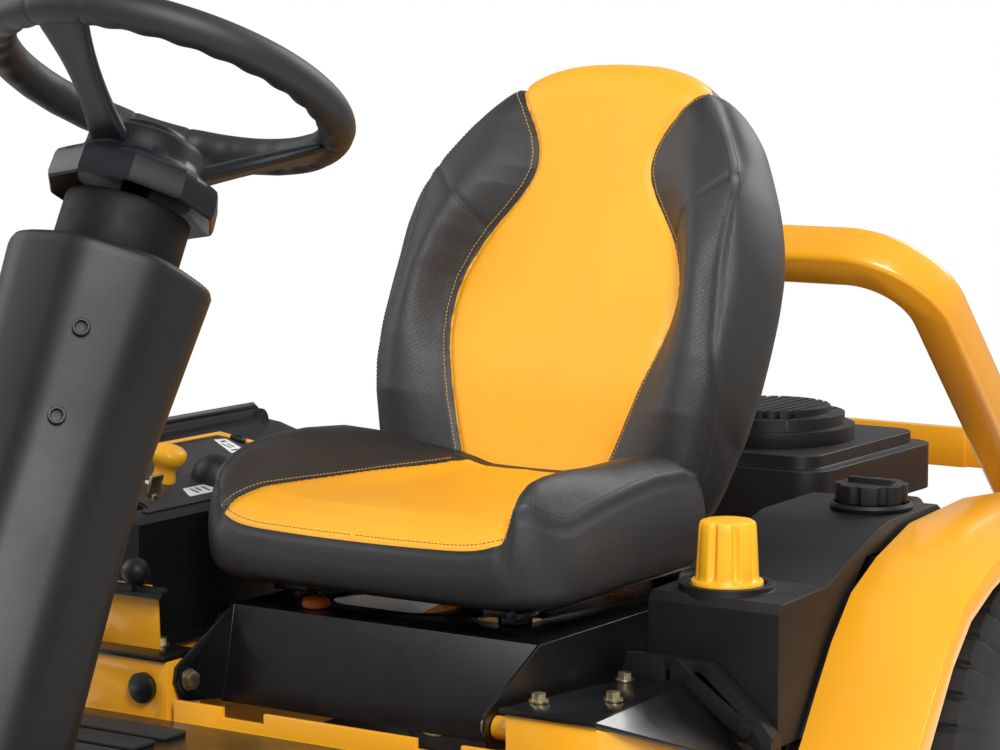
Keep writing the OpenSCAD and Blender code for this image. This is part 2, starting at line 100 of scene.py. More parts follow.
def new_finish(name, colour, roughness, **more):
    """A new material with its shader: returns the material, its tree and the shader node."""
    made = bpy.data.materials.new(name)
    made.use_nodes = True
    shader = made.node_tree.nodes["Principled BSDF"]
    shader.inputs["Base Color"].default_value = linear(colour)
    shader.inputs["Roughness"].default_value = roughness
    for key, value in more.items():
        shader.inputs[key.replace("_", " ")].default_value = value
    return made, made.node_tree, shader


def texture(tree, kind, sets):
    """A texture node laid out in the piece's own metres."""
    return add(tree, kind, sets, Vector=(add(tree, "TexCoord"), "Object"))


def ramp(tree, source, dark, light):
    """Two hex colours blended by a noise node."""
    shade = add(tree, "ValToRGB", Fac=(source, "Fac"))
    shade.color_ramp.elements[0].color = linear(dark)
    shade.color_ramp.elements[1].color = linear(light)
    return shade


def mottle(tree, shader, source, dark, light):
    """Colours a finish between two hex colours by a noise node."""
    tree.links.new(ramp(tree, source, dark, light).outputs["Color"], shader.inputs["Base Color"])


def relief(tree, shader, source, output, strength, depth):
    """Raises a finish's surface by a texture node: depth is in metres."""
    bump = add(tree, "Bump", {"Strength": strength, "Distance": depth}, Height=(source, output))
    tree.links.new(bump.outputs["Normal"], shader.inputs["Normal"])


def roughen(tree, shader, source, low, high, start=0.0, stop=1.0):
    """Varies a finish's roughness from low to high as a noise node goes from start to stop."""
    rough = add(tree, "MapRange", {"From Min": start, "From Max": stop, "To Min": low, "To Max": high},
                Value=(source, "Fac"))
    tree.links.new(rough.outputs["Result"], shader.inputs["Roughness"])


def clear():
    """Leaves edit mode with nothing selected."""
    if bpy.context.object and bpy.context.object.mode != "OBJECT":
        bpy.ops.object.mode_set(mode="OBJECT")
    bpy.ops.object.select_all(action="DESELECT")


def select(thing):
    """Makes a piece the active and only selected one."""
    clear()
    bpy.context.view_layer.objects.active = thing
    thing.select_set(True)


bpy.context.scene.view_settings.view_transform = "Standard"
world = bpy.data.worlds.new("studio")
bpy.context.scene.world = world
world.use_nodes = True
world.node_tree.nodes["Background"].inputs["Color"].default_value = linear("#FFFFFF")
seen = add(world.node_tree, "LightPath")
strength = add(world.node_tree, "MapRange", {"To Min": 0.36, "To Max": 1.0}, Value=(seen, "Is Camera Ray"))
world.node_tree.links.new(strength.outputs["Result"], world.node_tree.nodes["Background"].inputs["Strength"])
floor_paint, tree, shader = new_finish("floor_paint", "#F4F4F2", 0.8)
clear()
bpy.ops.mesh.primitive_circle_add(vertices=96, radius=2.3, fill_type="NGON", location=(0, 0, 0))
floor = bpy.context.object
floor.name = "floor"
floor.data.materials.append(floor_paint)
for lamp_name, place, width, watts in (("key_box", (2600, -3200, 3600), 2.2, 250),
                                       ("fill_box", (-3600, -1800, 2600), 3.0, 80),
                                       ("back_box", (1400, 3800, 3400), 2.6, 170)):
    lamp = bpy.data.objects.new(lamp_name, bpy.data.lights.new(lamp_name, "AREA"))
    bpy.context.scene.collection.objects.link(lamp)
    lamp.data.size, lamp.data.energy = width, watts
    lamp.location = at(*place)
    lamp.rotation_mode = "QUATERNION"
    lamp.rotation_quaternion = (at(0, -300, 600) - lamp.location).to_track_quat("-Z", "Y")


# Frame rails, towers, front panel, hoop, rear guard, fenders and wheel rims: pressed and welded mild steel,
# powder coated yellow. Each is a copy of its CAD node with its sharp edges rounded, as the folds and the
# thick coat leave them.
yellow_coat, tree, shader = new_finish("yellow_powder_coat", "#F5A81C", 0.3, Coat_Weight=0.45,
                                       Coat_Roughness=0.12)
cloud = texture(tree, "TexNoise", {"Scale": 3.0, "Detail": 3.0})
mottle(tree, shader, cloud, "#EFA018", "#F8B026")
peel = texture(tree, "TexNoise", {"Scale": 420.0, "Detail": 1.0})
relief(tree, shader, peel, "Fac", 0.12, 0.0006)


def body_name(node):
    """The body that a CAD node belongs to."""
    return next(b for b, nodes in frame["record"]["behaviour"]["bodies"].items() if node in nodes)


def join_points(thing, gap=0.00002):
    """Merges a piece's loose triangles and turns flat areas back into single faces."""
    select(thing)
    bpy.ops.object.mode_set(mode="EDIT")
    bpy.ops.mesh.select_all(action="SELECT")
    bpy.ops.mesh.remove_doubles(threshold=gap)
    bpy.ops.mesh.dissolve_limited(angle_limit=math.radians(1.5))
    bpy.ops.object.mode_set(mode="OBJECT")


def finish(thing, body, angle=35):
    """Smooths a finished piece below an edge angle and puts it on its body."""
    select(thing)
    bpy.ops.object.transform_apply(location=True, rotation=True, scale=True)
    bpy.ops.object.shade_smooth_by_angle(angle=math.radians(angle))
    clear()
    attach(thing, body)


def slot_of(node):
    """The record's material slot of a CAD node."""
    return next(s["material_slot"] for s in frame["record"]["subparts"] if s["node"] == node)


def bevel(thing, edge_mm, steps):
    """Rounds the edges over 30 degrees of the selected piece."""
    rounding = thing.modifiers.new("edge", "BEVEL")
    rounding.width, rounding.segments = edge_mm / 1000, steps
    rounding.limit_method, rounding.angle_limit = "ANGLE", math.radians(30)
    bpy.ops.object.modifier_apply(modifier="edge")


def rounded_copy(node, coat, edge_mm, steps=2):
    """A coated copy of a CAD node in the node's place, its edges over 30 degrees rounded to edge_mm."""
    copy = frame["nodes"][node].copy()
    copy.data = frame["nodes"][node].data.copy()
    copy.name = node + "_skin"
    copy.parent = None
    copy.matrix_world = Matrix.Identity(4)
    bpy.context.scene.collection.objects.link(copy)
    join_points(copy)
    copy.data.materials.clear()
    copy.data.materials.append(coat)
    for face in copy.data.polygons:
        face.material_index = 0
    if edge_mm:
        select(copy)
        bevel(copy, edge_mm, steps)
    finish(copy, body_name(node))
    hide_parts(node)
    return copy


for node, edge in (("frame_rails", 3), ("side_towers", 3), ("front_panel", 2), ("fender_left", 5),
                   ("fender_right", 5), ("rear_hoop", 7), ("rear_guard", 2.5), ("front_rim_left", 1.5),
                   ("front_rim_right", 1.5), ("rear_rim_left", 2), ("rear_rim_right", 2)):
    rounded_copy(node, yellow_coat, edge)


# Seat pan and rails, tower tops, footplate, deck shell, axle parts, pedals and slide lever: sheet steel
# powder coated gloss black, which gives a deep, slightly rippled shine with grey dust in the corners. They
# are rounded copies like the yellow steel.
black_coat, tree, shader = new_finish("black_powder_coat", "#070708", 0.26, Coat_Weight=0.2,
                                      Coat_Roughness=0.14)
dust = texture(tree, "TexNoise", {"Scale": 9.0, "Detail": 6.0, "Roughness": 0.65})
roughen(tree, shader, dust, 0.24, 0.42, 0.35, 0.7)
mottle(tree, shader, dust, "#050506", "#101011")
peel = texture(tree, "TexNoise", {"Scale": 300.0, "Detail": 1.0})
relief(tree, shader, peel, "Fac", 0.1, 0.0006)
for node, edge in (("seat_pan", 2), ("seat_rails", 1), ("tower_plates", 1.5), ("footplate", 2),
                   ("deck_shell", 2), ("front_axle_beam", 3), ("spindle_left", 2), ("spindle_right", 2),
                   ("steering_arm", 2), ("forward_pedal", 1.5), ("reverse_pedal", 1.5), ("brake_pedal", 1.5),
                   ("lift_pedal", 1.5), ("slide_lever", 1)):
    rounded_copy(node, black_coat, edge)


# Console, tank, strap, chute, cap, hand levers and deck wheels: polypropylene, injection or blow moulded in a
# grained tool. The grain is a pebble of about 1 mm, and the black fades a little to grey where hands and
# boots rub. The engine cowls, the seat base and the column cover below have it too.
black_pp, tree, shader = new_finish("black_moulded_polypropylene", "#0E0E0F", 0.48, Specular_IOR_Level=0.36)
wear = texture(tree, "TexNoise", {"Scale": 6.0, "Detail": 4.0})
mottle(tree, shader, wear, "#0C0C0D", "#171718")
roughen(tree, shader, wear, 0.42, 0.56, 0.3, 0.7)
grain = texture(tree, "TexVoronoi", {"Scale": 1000.0, "feature": "SMOOTH_F1"})
relief(tree, shader, grain, "Distance", 0.25, 0.0003)
for node, edge in (("console_right", 4), ("fuel_tank", 7), ("tank_bracket", 1.5), ("chute_deflector", 3),
                   ("fuel_cap", 2.5), ("throttle_lever", 2), ("brake_lever", 0), ("deck_wheel_left", 3),
                   ("deck_wheel_right", 3)):
    rounded_copy(node, black_pp, edge, 3)


# Yellow plastic for the height dial and the blade switch, which are made near the end: a glossier moulding
# with the fine sink marks of thick walls.
yellow_pp, tree, shader = new_finish("yellow_moulded_plastic", "#FBB51F", 0.38, Subsurface_Weight=0.05)
cloud = texture(tree, "TexNoise", {"Scale": 14.0, "Detail": 3.0})
mottle(tree, shader, cloud, "#F3A712", "#FDBE2C")
grain = texture(tree, "TexNoise", {"Scale": 900.0, "Detail": 2.0})
relief(tree, shader, grain, "Fac", 0.15, 0.0003)


# Engine block and drives: die-cast aluminium left bare. The shroud and the dome are black plastic cowls.
cast_metal, tree, shader = new_finish("cast_aluminium", "#77787A", 0.5, Metallic=0.85)
skin = texture(tree, "TexNoise", {"Scale": 240.0, "Detail": 4.0})
relief(tree, shader, skin, "Fac", 0.35, 0.0008)
cloud = texture(tree, "TexNoise", {"Scale": 12.0, "Detail": 5.0})
mottle(tree, shader, cloud, "#4A4B4D", "#8C8D90")
for node, edge in (("engine_block", 3), ("hydro_drives", 4)):
    rounded_copy(node, cast_metal, edge)
for node, edge in (("engine_shroud", 8), ("blower_dome", 3)):
    rounded_copy(node, black_pp, edge, 3)


# Bolts, tie rod and key: steel, zinc plated and yellow passivated, so a pale gold with a faint rainbow cloud.
zinc_plate, tree, shader = new_finish("zinc_plated_steel", "#C9B98A", 0.32, Metallic=1.0)
cloud = texture(tree, "TexNoise", {"Scale": 60.0, "Detail": 4.0})
mottle(tree, shader, cloud, "#B49B5E", "#D9CFB4")
roughen(tree, shader, cloud, 0.22, 0.45)
for node, edge in (("hex_bolts", 0.6), ("tie_rod", 1), ("ignition_key", 0.6)):
    rounded_copy(node, zinc_plate, edge)


# Blades: spring steel, ground bright along the edge and scuffed in rings by grass and grit.
blade_steel, tree, shader = new_finish("ground_spring_steel", "#8A8C8F", 0.35, Metallic=1.0)
scuff = texture(tree, "TexNoise", {"Scale": 120.0, "Detail": 5.0})
roughen(tree, shader, scuff, 0.2, 0.55)
mottle(tree, shader, scuff, "#5C5D60", "#9FA1A4")
for node in ("blade_left", "blade_centre", "blade_right"):
    rounded_copy(node, blade_steel, 1)


# Belt and foot mats: extruded and pressed rubber, matt, with fine cloth marks from the mould.
mat_rubber, tree, shader = new_finish("pressed_mat_rubber", "#1B1B1C", 0.75)
cloud = texture(tree, "TexNoise", {"Scale": 30.0, "Detail": 5.0})
mottle(tree, shader, cloud, "#141414", "#29292A")
grain = texture(tree, "TexVoronoi", {"Scale": 600.0})
relief(tree, shader, grain, "Distance", 0.4, 0.0004)
for node, edge in (("foot_mat", 1), ("deck_belt", 0)):
    rounded_copy(node, mat_rubber, edge)


# Seat vinyl: PVC sheet embossed with a fine leather grain, cut into panels and sewn over moulded foam. The
# yellow middle panel and the black bolsters are one sewn cover, and the bolsters are punched with fine air
# holes, whose dark insides are painted shade.
def smooth_between(knots, values, x):
    """A smooth curve through rows of knots: knots and values have one row per x, Hermite between them."""
    step = np.diff(knots, axis=1)
    slope = np.diff(values, axis=1) / step
    inner = np.where(slope[:, 1:] * slope[:, :-1] > 0, 2 * slope[:, 1:] * slope[:, :-1]
                     / (slope[:, 1:] + slope[:, :-1] + 1e-12), 0)
    tangent = np.concatenate([np.zeros((len(x), 1)), inner, slope[:, -1:]], axis=1)
    out = values[:, -1].copy()
    for i in reversed(range(step.shape[1])):
        t = np.clip((x - knots[:, i]) / step[:, i], 0, 1)
        start, stop = values[:, i], values[:, i + 1]
        value = ((2 * t ** 3 - 3 * t ** 2 + 1) * start
                 + (t ** 3 - 2 * t ** 2 + t) * step[:, i] * tangent[:, i]
                 + (3 * t ** 2 - 2 * t ** 3) * stop + (t ** 3 - t ** 2) * step[:, i] * tangent[:, i + 1])
        out = np.where(x <= knots[:, i + 1], value, out)
    return out


def table(pairs, at_value):
    """A value read from (position, value) pairs."""
    return np.interp(at_value, [p[0] for p in pairs], [p[1] for p in pairs])


def round_outline(half, count):
    """A closed, evenly spaced and softened outline from (half width, height) points down one side."""
    points = np.array(list(half) + [(-x, y) for x, y in reversed(half) if abs(x) > 0.01], float)
    points = np.vstack([points, points[:1]])
    length = np.concatenate([[0], np.cumsum(np.hypot(*np.diff(points, axis=0).T))])
    along = np.linspace(0, length[-1], count, endpoint=False)
    even = np.stack([np.interp(along, length, points[:, k]) for k in (0, 1)], axis=1)
    reach = 7
    weight = np.exp(-0.5 * (np.arange(-reach, reach + 1) / 2.6) ** 2)
    weight /= weight.sum()
    return sum(w * np.roll(even, k, axis=0) for w, k in zip(weight, range(-reach, reach + 1)))


def closed_mesh(name, verts, faces, coat=None, places=None):
    """A new piece from points and faces, with its normals outward and itself selected. places has the UV
    points of each face's corners; a piece that has them also gets its coinciding points merged."""
    mesh = bpy.data.meshes.new(name)
    mesh.from_pydata(verts, [], faces)
    if places:
        mesh.uv_layers.new(name="cut").data.foreach_set("uv", np.array(places, float).reshape(-1))
    made = bpy.data.objects.new(name, mesh)
    bpy.context.scene.collection.objects.link(made)
    if coat:
        made.data.materials.append(coat)
    select(made)
    bpy.ops.object.mode_set(mode="EDIT")
    bpy.ops.mesh.select_all(action="SELECT")
    if places:
        bpy.ops.mesh.remove_doubles(threshold=0.0002)
    bpy.ops.mesh.normals_make_consistent(inside=False)
    bpy.ops.object.mode_set(mode="OBJECT")
    return made


def pad_mesh(name, rings, marks):
    """A closed pad from rings of points in metres. marks has each ring's UV points and their shift in v."""
    count = len(rings[0])
    faces, places = [], []
    for r in range(len(rings) - 1):
        for i in range(count):
            j = (i + 1) % count
            faces.append((r * count + i, r * count + j, (r + 1) * count + j, (r + 1) * count + i))
            upper, lower, shift = marks[r][0], marks[r + 1][0], marks[r][1]
            places.append([(p[0], p[1] + shift) for p in (upper[i], upper[j], lower[j], lower[i])])
    return closed_mesh(name, [tuple(v) for v in np.concatenate(rings)], faces, places=places)


def push(pad, amount):
    """Moves each point of a pad along its normal by amount(x, y, z arrays), in metres."""
    mesh = pad.data
    points, normals = np.empty(len(mesh.vertices) * 3), np.empty(len(mesh.vertices) * 3)
    mesh.vertices.foreach_get("co", points)
    mesh.vertex_normals.foreach_get("vector", normals)
    points, normals = points.reshape(-1, 3), normals.reshape(-1, 3)
    points += normals * amount(points, normals)[:, None]
    mesh.vertices.foreach_set("co", points.reshape(-1))
    mesh.update()


def seat_vinyl(name, widths, length, holes, edge=None):
    """The seat cover's vinyl. widths is (place, half width) of the yellow panel in mm; holes is the slanting
    limit (height at the middle, rise per mm) below which bolsters are punched; edge is the outer limit."""
    made, tree, shader = new_finish(name, "#1E1E20", 0.5, Coat_Weight=0.08, Coat_Roughness=0.4)
    cut = add(tree, "UVMap", {"uv_map": "cut"})
    split = add(tree, "SeparateXYZ", Vector=(cut, "UV"))

    def maths(operation, *given):
        """A maths node's result: each of the given is a number or a (node, output)."""
        links = {"in%d" % k: value for k, value in enumerate(given) if isinstance(value, tuple)}
        sets = {"in%d" % k: value for k, value in enumerate(given) if not isinstance(value, tuple)}
        return add(tree, "Math", {"operation": operation, **sets}, **links), "Value"

    across = maths("ABSOLUTE", (split, "X"))
    part = maths("DIVIDE", (split, "Y"), length / 1000)

    def width_curve(pairs):
        curve = add(tree, "FloatCurve", {}, Value=part)
        points = curve.mapping.curves[0].points
        for i, (place_mm, width) in enumerate(pairs):
            spot = (place_mm / length, width / 400)
            if i < 2:
                points[i].location = spot
            else:
                points.new(*spot)
        curve.mapping.use_clip = False
        curve.mapping.update()
        return maths("MULTIPLY", (curve, "Value"), 0.4)

    panel = width_curve(widths)
    outside = maths("SUBTRACT", across, panel)
    on_front = maths("GREATER_THAN", (split, "Y"), -0.5)
    in_panel = add(tree, "MapRange", {"From Min": 0.0004, "From Max": -0.0004, "To Min": 0.0, "To Max": 1.0},
                   Value=outside)
    yellow = maths("MULTIPLY", (in_panel, "Result"), on_front)
    cloud = texture(tree, "TexNoise", {"Scale": 7.0, "Detail": 4.0})
    cover = add(tree, "Mix", {"data_type": "RGBA"}, in0=yellow,
                in6=(ramp(tree, cloud, "#19191A", "#262627"), "Color"),
                in7=(ramp(tree, cloud, "#F0A010", "#F8B11E"), "Color"))
    # punched holes of 1.3 mm on a 4.6 mm diamond grid, each coloured near black as painted shade inside the
    # hole
    turned = add(tree, "Mapping", {"Rotation": (0, 0, math.radians(45)), "Scale": (1 / 0.0046,) * 3},
                 Vector=(cut, "UV"))
    cell = add(tree, "VectorMath", {"operation": "FRACTION"}, in0=(turned, "Vector"))
    middle = add(tree, "VectorMath", {"operation": "DISTANCE", "in1": (0.5, 0.5, 0)}, in0=(cell, "Vector"))
    dot = add(tree, "MapRange", {"From Min": 0.19, "From Max": 0.13, "To Min": 0.0, "To Max": 1.0},
              Value=(middle, "Value"))
    rise = maths("MULTIPLY_ADD", across, holes[1], holes[0] / 1000)
    punched = maths("MULTIPLY", (dot, "Result"), maths("LESS_THAN", (split, "Y"), rise))
    punched = maths("MULTIPLY", punched, maths("GREATER_THAN", outside, 0.006))
    punched = maths("MULTIPLY", punched, on_front)
    if edge:
        punched = maths("MULTIPLY", punched, maths("LESS_THAN", across, width_curve(edge)))
    # each punched hole is darkened to near black: painted shade in the hole, not the vinyl's own colour
    dark = add(tree, "Mix", {"data_type": "RGBA", "in7": linear("#050505")}, in0=punched,
               in6=(cover, "Result"))
    tree.links.new(dark.outputs["Result"], shader.inputs["Base Color"])
    grain = texture(tree, "TexVoronoi", {"Scale": 620.0, "feature": "DISTANCE_TO_EDGE"})
    crease = add(tree, "MapRange", {"From Min": 0.0, "From Max": 0.12}, Value=(grain, "Distance"))
    fold = texture(tree, "TexNoise", {"Scale": 26.0, "Detail": 3.0, "Distortion": 0.6})
    height = maths("MULTIPLY_ADD", (fold, "Fac"), 6.0, (crease, "Result"))
    height = maths("MULTIPLY_ADD", punched, -3.0, height)
    relief(tree, shader, *height, 0.35, 0.0004)
    return made


# Backrest: one foam moulding that reaches 540 mm up its own slope. s runs up the slope, x across, and n
# forwards from the plane through the line where the back meets the cushion.
BACK_POINTS = 460
LEAN = math.radians(20.4)
up_slope = np.array([0, math.sin(LEAN), math.cos(LEAN)])
forwards = np.array([0, -math.cos(LEAN), math.sin(LEAN)])
foot = np.array([0, -297.0, 587.0])
zero = np.array(at(0, 0, 0))


def on_back(x, s, n):
    """Backrest coordinates in mm to the frame's metres."""
    x, s, n = (given[..., None] for given in np.broadcast_arrays(x, s, n))
    return zero + (foot + x * np.array([1, 0, 0]) + s * up_slope + n * forwards) / 1000


BACK_PANEL = [(-60, 92), (0, 100), (40, 115), (80, 128), (120, 140), (160, 152), (200, 159), (240, 158),
              (280, 146), (310, 131), (335, 114), (365, 94), (390, 84), (411, 84), (434, 91), (470, 112),
              (510, 137), (545, 152)]
BACK_EDGE = [(-60, 246), (16, 250), (50, 250), (83, 250), (117, 248), (150, 244), (185, 239), (220, 235),
             (262, 230), (332, 227), (371, 225), (403, 216), (435, 198), (467, 176), (488, 160), (510, 137),
             (545, 100)]
back_half = [(0, 540), (50, 538), (75, 534), (100, 527), (122, 518), (140, 508), (158, 496), (176, 481),
             (194, 462), (210, 440), (228, 402), (245, 362), (258, 322), (266, 280), (268, 230), (266, 180),
             (262, 130), (255, 80), (245, 40), (235, 0), (222, -30), (190, -52), (100, -58), (0, -58)]
back_outline = round_outline(back_half, BACK_POINTS)
spine = np.stack([np.zeros(BACK_POINTS), np.clip(back_outline[:, 1], 110, 335)], axis=1)


def back_front(x, s):
    """How far the front of the backrest stands forwards at (x, s), in mm."""
    inner = table(BACK_PANEL, s)
    outer = table(BACK_EDGE, s)
    middle = -6 + 15 * np.exp(-((s - 120) / 90) ** 2) - 8 * np.exp(-((s - 330) / 90) ** 2)
    crest = table([(-60, 6), (0, 12), (40, 26), (80, 40), (150, 47), (250, 47), (300, 42), (360, 30),
                   (430, 13), (480, 4), (540, 0)], s)
    lip = table([(-60, -12), (16, -4), (50, 4), (83, 14), (117, 24), (150, 30), (300, 30), (360, 22),
                 (430, 7), (480, 0), (540, -4)], s)
    knots = np.stack([np.zeros_like(s), inner, inner + 0.62 * (outer - inner), outer, outer + 30], axis=1)
    values = np.stack([middle, middle + 5, crest, lip, lip - 26], axis=1)
    return smooth_between(knots, values, np.abs(x))


inward = spine - back_outline
reach = np.hypot(*inward.T)
inward = inward / reach[:, None]
top_share = np.clip((back_outline[:, 1] - 380) / 120, 0, 1)
round_mm = 24 + 22 * top_share
widest = -58 + 14 * top_share
rings, marks = [], []
for share in np.linspace(0, 1, 9)[:-1]:
    spot = back_outline + (spine - back_outline) * (1 - share)
    if share == 0:
        spot = spine.copy()
    rings.append(on_back(spot[:, 0], spot[:, 1], np.full(BACK_POINTS, -95.0) + 6 * share))
    marks.append((spot / 1000, -2.0))
for angle in np.linspace(80, 0, 7):
    spot = back_outline + inward * 18 * (1 - math.cos(math.radians(angle)))
    rings.append(on_back(spot[:, 0], spot[:, 1], widest + (-89 - widest) * math.sin(math.radians(angle))))
    marks.append((spot / 1000, -2.0))
marks[-1] = (marks[-1][0], 0.0)
for angle in np.linspace(0, 90, 17)[1:]:
    spot = back_outline + inward * (round_mm * (1 - math.cos(math.radians(angle))))[:, None]
    front_n = back_front(spot[:, 0], spot[:, 1])
    rings.append(on_back(spot[:, 0], spot[:, 1], widest + (front_n - widest) * math.sin(math.radians(angle))))
    marks.append((spot / 1000, 0.0))
start = back_outline + inward * round_mm[:, None]
for share in np.linspace(0, 1, 76)[1:]:
    spot = start + (spine - start) * share
    rings.append(on_back(spot[:, 0], spot[:, 1], back_front(spot[:, 0], spot[:, 1])))
    marks.append((spot / 1000, 0.0))
seat_back = pad_mesh("seat_back_cover", rings, marks)


def back_place(points):
    """Frame metres to backrest x, s and n in mm."""
    local = (points - zero) * 1000 - foot
    return local[:, 0], local @ up_slope, local @ forwards


def seam_gap(x, s, pairs):
    """Distance in mm from the seam that pairs describe, signed outwards."""
    width = table(pairs, s)
    lean = (table(pairs, s + 2) - table(pairs, s - 2)) / 4
    return (np.abs(x) - width) / np.sqrt(1 + lean ** 2)


def back_padding(points, normals):
    x, s, n = back_place(points)
    facing = np.clip(normals @ forwards * 3 + 0.9, 0, 1)
    panel = seam_gap(x, s, BACK_PANEL)
    edge = seam_gap(x, s, BACK_EDGE)
    slant = (s - (308 + (np.abs(x) - 140) * 1.016)) / 1.42
    beside = np.clip(panel / 4, 0, 1) * np.clip(-edge / 4, 0, 1)
    sunk = (4.2 * np.exp(-(panel / 4.2) ** 2) + 2.6 * np.exp(-(edge / 3.6) ** 2)
            + 1.8 * np.exp(-(slant / 3.4) ** 2) * beside)
    puffed = 3.5 * (1 - np.exp(-np.abs(panel) / 16)) + 1.6 * (1 - np.exp(-np.abs(edge) / 12))
    return facing * (puffed - sunk - 2.5) / 1000


push(seat_back, back_padding)
back_vinyl = seat_vinyl("embossed_vinyl_back", BACK_PANEL[1:], 545, (308 - 142, 1.016), BACK_EDGE[1:])
seat_back.data.materials.append(back_vinyl)
finish(seat_back, "seat", 60)
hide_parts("seat_back")


# Seat cushion: a second foam moulding, 500 mm wide, with raised bolsters and an upright band round its edge.
CUSHION_POINTS, CUSHION_FLOOR, CUSHION_FRONT = 420, 491.0, -668
CUSHION_PANEL = [(0, 197), (68, 180), (128, 162), (188, 144), (248, 124), (308, 98), (345, 85), (352, 78),
                 (362, 0), (440, 0)]
cushion_half = [(0, -669), (60, -669), (110, -668), (150, -667), (172, -665), (195, -660), (214, -649),
                (229, -633), (238, -612), (242, -590), (242, -500), (242, -420), (239, -340), (232, -285),
                (218, -258), (190, -248), (0, -246)]
cushion_outline = round_outline(cushion_half, CUSHION_POINTS)
cushion_spine = np.stack([np.zeros(CUSHION_POINTS), np.clip(cushion_outline[:, 1], -470, -400)], axis=1)


def cushion_top(x, y):
    """Height of the cushion's sewn top at (x, y), in mm."""
    middle = table([(-673, 551), (-655, 559), (-640, 566), (-600, 574), (-500, 575), (-400, 578),
                    (-300, 585)], y)
    crest = table([(-669, 558), (-662, 582), (-650, 604), (-635, 616), (-614, 626), (-590, 633), (-541, 638),
                   (-478, 638), (-400, 632), (-351, 622), (-300, 610), (-246, 596)], y)
    lower_left = table([(-620, 0), (-590, -5), (-545, -9), (-465, -14), (-385, -6), (-340, 0)], y)
    crest = crest + np.where(x > 0, lower_left, 0)
    side = table([(-673, 550), (-655, 554), (-640, 562), (-600, 570), (-571, 578), (-517, 590), (-455, 602),
                  (-398, 607), (-315, 600), (-263, 588), (-246, 584)], y)
    inner = table([(p[0] + CUSHION_FRONT, p[1]) for p in CUSHION_PANEL[:7]], y)
    knots = np.stack([np.zeros_like(y), inner * 0.6, inner + 4, np.full_like(y, 208), np.full_like(y, 247)],
                     axis=1)
    values = np.stack([middle, middle + 1, middle + 0.22 * (crest - middle) + 4, crest, side], axis=1)
    return smooth_between(knots, values, np.abs(x))


def on_cushion(x, y, z):
    return zero + np.stack(np.broadcast_arrays(x, y, z), axis=-1) / 1000


away = cushion_outline - cushion_spine
away = away / np.hypot(*away.T)[:, None]
seam_z = cushion_top(cushion_outline[:, 0], cushion_outline[:, 1])
rings, marks = [], []
for share in (0.0, 0.25, 0.5, 0.75, 0.93):
    spot = cushion_spine + (cushion_outline - cushion_spine) * share
    rings.append(on_cushion(spot[:, 0], spot[:, 1], np.full(CUSHION_POINTS, CUSHION_FLOOR)))
    marks.append((spot / 1000, -2.0))
for share in np.linspace(0, 1, 19):
    bulge = 9 * math.sin(math.pi * min(share * 1.05, 1)) ** 0.8 - 9 * max(0, 1 - share * 6) ** 2
    spot = cushion_outline + away * bulge
    rings.append(on_cushion(spot[:, 0], spot[:, 1], CUSHION_FLOOR + (seam_z - CUSHION_FLOOR) * share))
    marks.append((spot / 1000, -2.0))
marks[-1] = (np.stack([cushion_outline[:, 0], cushion_outline[:, 1] - CUSHION_FRONT], axis=1) / 1000, 0.0)
for share in np.concatenate([np.linspace(0, 0.12, 12)[1:], np.linspace(0.12, 1, 66)[1:]]):
    spot = cushion_outline + (cushion_spine - cushion_outline) * share
    crown = cushion_top(spot[:, 0], spot[:, 1]) + 5 * (1 - math.exp(-share * 34))
    rings.append(on_cushion(spot[:, 0], spot[:, 1], crown))
    marks.append((np.stack([spot[:, 0], spot[:, 1] - CUSHION_FRONT], axis=1) / 1000, 0.0))
seat_cushion = pad_mesh("seat_cushion_cover", rings, marks)


def cushion_padding(points, normals):
    local = (points - zero) * 1000
    x, y = local[:, 0], local[:, 1]
    panel = seam_gap(x, y - CUSHION_FRONT, CUSHION_PANEL[:7])
    upward = np.clip(normals[:, 2] * 3 - 0.6, 0, 1) * (y < -322)
    across = np.exp(-((y + 322) / 4.0) ** 2) * (np.abs(x) < 112) * np.clip(normals[:, 2] * 3 - 0.6, 0, 1)
    sunk = 4.0 * np.exp(-(panel / 4.2) ** 2)
    puffed = 3.0 * (1 - np.exp(-np.abs(panel) / 16))
    return (upward * (puffed - sunk) - 3 * across) / 1000


push(seat_cushion, cushion_padding)
cushion_vinyl = seat_vinyl("embossed_vinyl_cushion", CUSHION_PANEL, 440, (440, 0.0))
seat_cushion.data.materials.append(cushion_vinyl)
finish(seat_cushion, "seat", 60)
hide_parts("seat_cushion")
rounded_copy("seat_base", black_pp, 3, 3)


# Seat stitching: bonded nylon thread, 0.9 mm thick, sewn at 5 mm along both sides of each seam.
def thread(name, colour):
    """Twisted nylon thread."""
    made, tree, shader = new_finish(name, colour, 0.55, Sheen_Weight=0.3)
    twist = texture(tree, "TexNoise", {"Scale": 1500.0, "Detail": 1.0})
    relief(tree, shader, twist, "Fac", 0.3, 0.0002)
    return made


